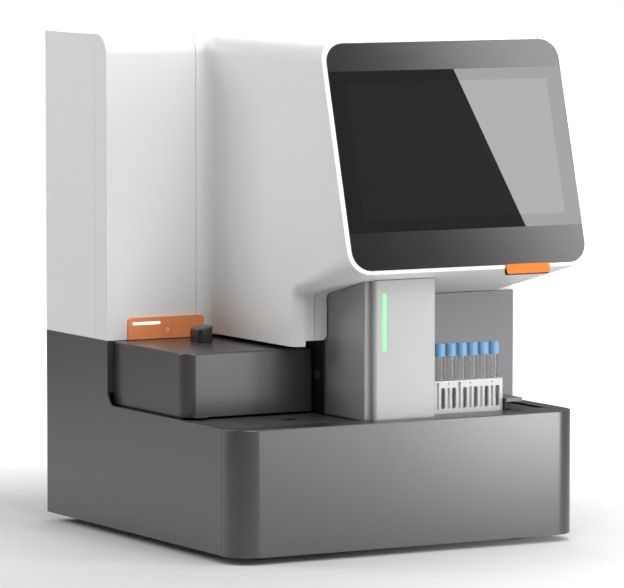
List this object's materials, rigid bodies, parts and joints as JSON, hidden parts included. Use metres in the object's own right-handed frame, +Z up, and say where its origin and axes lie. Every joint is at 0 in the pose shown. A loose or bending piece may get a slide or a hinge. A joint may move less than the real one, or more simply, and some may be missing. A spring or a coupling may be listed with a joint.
{
  "type": "benchtop chemistry analyzer",
  "caption": "Benchtop analyzer with a leaning touch screen, a sliding reagent hood with a turning knob, a sampling tower and a bay for a rack of capped tubes.",
  "frame": {"origin": "on the floor under the centre of the instrument's box", "axes": "+Z up, +Y to the back, +X to the right as seen from the front"},
  "size_m": [0.64, 0.7068, 0.825],
  "materials": {
    "white": "satin",
    "grey": "fine matt",
    "black": "matt",
    "orange": "satin",
    "light": "translucent",
    "screen_glass": "polished",
    "rack_white": "moulded",
    "cap_blue": "moulded",
    "tube_glass": "clear",
    "sheet_steel": "matt",
    "steel": "brushed",
    "aluminium": "machined",
    "rubber": "matt",
    "board": "satin"
  },
  "bodies": {
    "chassis": {"base_front_cover": "grey", "base_pan": "sheet_steel", "bay_back_panel": "grey", "chamber_back_wall": "grey", "chamber_side_wall": "black", "column_front_cover": "white", "column_side_cover": "white", "data_ports": "black", "display_frame": "sheet_steel", "display_panel": "black", "drum_motor": "aluminium", "fan_frame": "black", "foot_bolts": "steel", "frame_posts": "sheet_steel", "frame_shelf": "sheet_steel", "head_left_cover": "white", "head_right_cover": "white", "head_top_cover": "white", "head_under_cover": "white", "hood_rails": "black", "incubator_block": "aluminium", "indicator_window": "light", "left_side_panel": "grey", "light_board": "board", "main_board": "board", "orange_badge": "orange", "orange_label": "orange", "photometer_head": "black", "power_inlet": "black", "power_supply": "sheet_steel", "probe_brackets": "sheet_steel", "probe_rods": "steel", "pusher_rail": "black", "rack_tray": "black", "reagent_tray": "black", "rear_panel": "sheet_steel", "rear_screws": "steel", "right_side_panel": "grey", "rubber_feet": "rubber", "status_light": "light", "switch_housing": "black", "touch_glass": "screen_glass", "tower_front_cover": "white", "tower_shell": "grey"},
    "hood": {"reagent_hood": "grey"},
    "knob": {"hood_knob": "black", "knob_spindle_and_cam": "steel"},
    "drum": {"reagent_drum": "aluminium", "reagent_cartridges": "rack_white", "drum_spindle": "steel"},
    "probe": {"probe_carriage": "black", "probe_needle": "steel"},
    "rack": {"sample_rack": "rack_white", "sample_tubes": "tube_glass", "tube_caps": "cap_blue"},
    "pusher": {"rack_pusher": "grey", "pusher_finger": "black"},
    "fan": {"fan_rotor": "black"},
    "rocker": {"power_switch": "black"},
    "button": {"power_button": "orange"}
  },
  "joints": [
    {"name": "hood_slide", "type": "slide", "parent": "chassis", "child": "hood", "axis": [0, -1, 0], "range_m": [0, 0.14]},
    {"name": "knob_turn", "type": "hinge", "parent": "hood", "child": "knob", "pos_m": [-0.185, 0.05238, 0.3199], "axis": [0, 0, 1], "range_deg": [0, 90]},
    {"name": "drum_spin", "type": "hinge", "parent": "chassis", "child": "drum", "pos_m": [-0.1905, 0.00138, 0.218], "axis": [0, 0, 1], "continuous": true},
    {"name": "probe_lower", "type": "slide", "parent": "chassis", "child": "probe", "axis": [0, 0, -1], "range_m": [0, 0.038]},
    {"name": "rack_slide", "type": "slide", "parent": "chassis", "child": "rack", "axis": [-1, 0, 0], "range_m": [0, 0.12]},
    {"name": "pusher_slide", "type": "slide", "parent": "chassis", "child": "pusher", "axis": [-1, 0, 0], "range_m": [0, 0.12]},
    {"name": "fan_spin", "type": "hinge", "parent": "chassis", "child": "fan", "pos_m": [0.21, 0.32188, 0.712], "axis": [0, 1, 0], "continuous": true},
    {"name": "power_rocker", "type": "hinge", "parent": "chassis", "child": "rocker", "pos_m": [0.143, 0.34238, 0.102], "axis": [1, 0, 0], "range_deg": [-16, 0]},
    {"name": "power_key_press", "type": "slide", "parent": "chassis", "child": "button", "axis": [0, 1, 0], "range_m": [0, 0.0015], "stiffness_N_per_m": 400}
  ],
  "couplings": [
    {"joint": "rack_slide", "follows": "pusher_slide", "ratio": 1}
  ]
}
